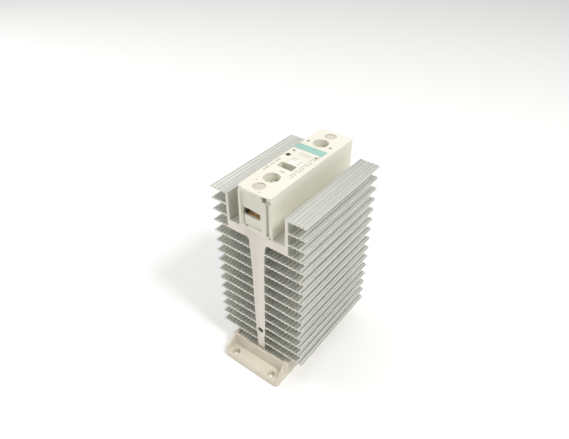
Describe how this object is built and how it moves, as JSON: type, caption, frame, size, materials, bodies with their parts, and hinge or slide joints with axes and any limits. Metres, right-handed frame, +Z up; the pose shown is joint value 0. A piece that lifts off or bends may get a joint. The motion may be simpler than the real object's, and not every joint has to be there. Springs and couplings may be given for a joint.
{
  "type": "solid state relay",
  "caption": "Solid state relay module on a finned aluminium heat sink, with wire clamps, a pull-out control plug and a rail foot.",
  "frame": {"origin": "middle of the foot's underside, on the surface it stands on", "axes": "+X across the relay, +Y along the fins from the line end to the load end, +Z up from the foot to the terminals"},
  "size_m": [0.066, 0.102, 0.1382],
  "materials": {
    "aluminium": "extruded, light satin",
    "foot_plastic": "moulded, matt warm beige",
    "latch_plastic": "moulded, dark grey",
    "spring_steel": "drawn wire",
    "zinc_steel": "zinc plated",
    "thermal_pad": "soft filled silicone",
    "plate_metal": "nickel plated",
    "ceramic": "white ceramic",
    "silicon": "polished dark",
    "copper": "bare copper",
    "passivated_clamp": "yellow passivated steel",
    "case_plastic": "moulded, matt cream",
    "marker_plastic": "moulded, warm grey",
    "band_teal": "printed teal",
    "tag_white": "satin white",
    "lens_dark": "clear dark",
    "board_green": "solder mask",
    "chip_black": "moulded epoxy",
    "varistor_blue": "dipped epoxy",
    "capacitor_yellow": "film box",
    "resistor_tan": "lacquer",
    "gold_pins": "plated contact",
    "plug_plastic": "moulded, grey green"
  },
  "bodies": {
    "base": {"heat_sink": "aluminium", "mounting_foot": "foot_plastic", "latch_spring": "spring_steel", "foot_screws": "zinc_steel", "thermal_pad": "thermal_pad", "base_plate": "plate_metal", "base_screws": "zinc_steel", "substrate": "ceramic", "thyristor_chips": "silicon", "chip_bridge": "copper", "line_busbar": "copper", "load_busbar": "copper", "relay_housing": "case_plastic", "marker_plugs": "marker_plastic", "colour_band": "band_teal", "label_tag": "tag_white", "light_guide": "lens_dark", "status_led": "ceramic", "circuit_board": "board_green", "optocoupler": "chip_black", "varistor": "varistor_blue", "snubber_capacitor": "capacitor_yellow", "resistors": "resistor_tan", "pin_header": "gold_pins"},
    "line_screw": {"line_screw": "zinc_steel"},
    "line_clamp": {"line_clamp": "passivated_clamp"},
    "load_screw": {"load_screw": "zinc_steel"},
    "load_clamp": {"load_clamp": "passivated_clamp"},
    "control_plug": {"control_plug": "plug_plastic", "plug_contacts": "gold_pins"},
    "rail_latch": {"rail_latch": "latch_plastic"}
  },
  "joints": [
    {"name": "line_screw_turn", "type": "hinge", "parent": "base", "child": "line_screw", "pos_m": [-0.0012, -0.0222, 0.13], "axis": [0, 0, -1], "range_deg": [0, 1441]},
    {"name": "line_clamp_rise", "type": "slide", "parent": "base", "child": "line_clamp", "axis": [0, 0, 1], "range_m": [0, 0.0032]},
    {"name": "load_screw_turn", "type": "hinge", "parent": "base", "child": "load_screw", "pos_m": [-0.0012, 0.0256, 0.13], "axis": [0, 0, -1], "range_deg": [0, 1441]},
    {"name": "load_clamp_rise", "type": "slide", "parent": "base", "child": "load_clamp", "axis": [0, 0, 1], "range_m": [0, 0.0032]},
    {"name": "control_plug_pull", "type": "slide", "parent": "base", "child": "control_plug", "axis": [0, 0, 1], "range_m": [0, 0.012]},
    {"name": "rail_latch_pull", "type": "slide", "parent": "base", "child": "rail_latch", "axis": [0, 1, 0], "range_m": [0, 0.005], "stiffness_N_per_m": 600, "springref_m": -0.004, "deforming": ["latch_spring"]}
  ],
  "couplings": [
    {"joint": "line_screw_turn", "follows": "line_clamp_rise", "rad_per_m": 7854},
    {"joint": "load_screw_turn", "follows": "load_clamp_rise", "rad_per_m": 7854}
  ]
}
